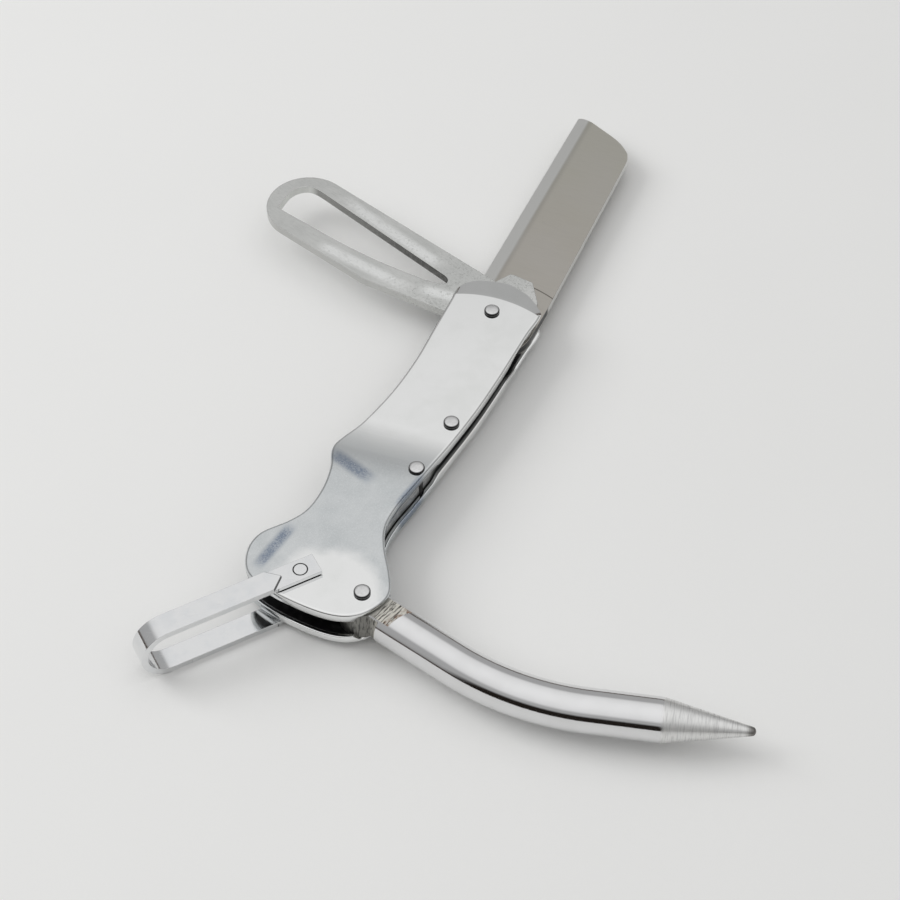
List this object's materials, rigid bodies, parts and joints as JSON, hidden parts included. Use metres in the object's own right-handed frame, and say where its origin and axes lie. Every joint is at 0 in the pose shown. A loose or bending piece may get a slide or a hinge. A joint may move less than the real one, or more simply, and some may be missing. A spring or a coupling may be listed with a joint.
{
  "type": "folding rigging knife",
  "caption": "Folding all-steel rigging knife with a sheepsfoot blade, a slotted shackle key, a curved marlinspike and a lanyard bail, opened out.",
  "frame": {"origin": "centre of the flat lower end of the rivet that the blade and the key turn on", "axes": "+Z along the four rivets, towards the side with the shackle key; +Y along the handle towards the blade end; +X towards the side that the marlinspike opens to"},
  "size_m": [0.1426, 0.1838, 0.0128],
  "materials": {
    "polished_sheet": "mirror-polished stainless steel sheet",
    "dull_plate": "blanked stainless steel plate, dull",
    "rivet_steel": "turned and peened, smooth",
    "satin_blade": "satin-ground stainless steel",
    "satin_key": "satin-ground stainless steel",
    "bright_bar": "bright-polished stainless steel"
  },
  "bodies": {
    "handle": {"upper_scale": "polished_sheet", "lower_scale": "polished_sheet", "centre_liner": "dull_plate", "key_spring": "dull_plate", "blade_spring": "dull_plate", "pivot_rivet": "rivet_steel", "spring_rivet_upper": "rivet_steel", "spring_rivet_lower": "rivet_steel", "spike_rivet": "rivet_steel"},
    "blade_body": {"blade": "satin_blade"},
    "key_body": {"shackle_key": "satin_key"},
    "spike_body": {"marlinspike": "bright_bar"},
    "bail_body": {"bail": "bright_bar"}
  },
  "joints": [
    {"name": "blade_pivot", "type": "hinge", "parent": "handle", "child": "blade_body", "pos_m": [0, 0, 0.0045], "axis": [0, 0, 1], "range_deg": [0, 169.6]},
    {"name": "key_pivot", "type": "hinge", "parent": "handle", "child": "key_body", "pos_m": [0, 0, 0.0045], "axis": [0, 0, 1], "range_deg": [-70, 92.4]},
    {"name": "spike_pivot", "type": "hinge", "parent": "handle", "child": "spike_body", "pos_m": [0, -0.0824, 0.0045], "axis": [0, 0, 1], "range_deg": [0, 81]},
    {"name": "bail_pivot", "type": "hinge", "parent": "handle", "child": "bail_body", "pos_m": [-0.0133, -0.0818, 0.0045], "axis": [0, 0, 1], "range_deg": [-105, 100]}
  ]
}
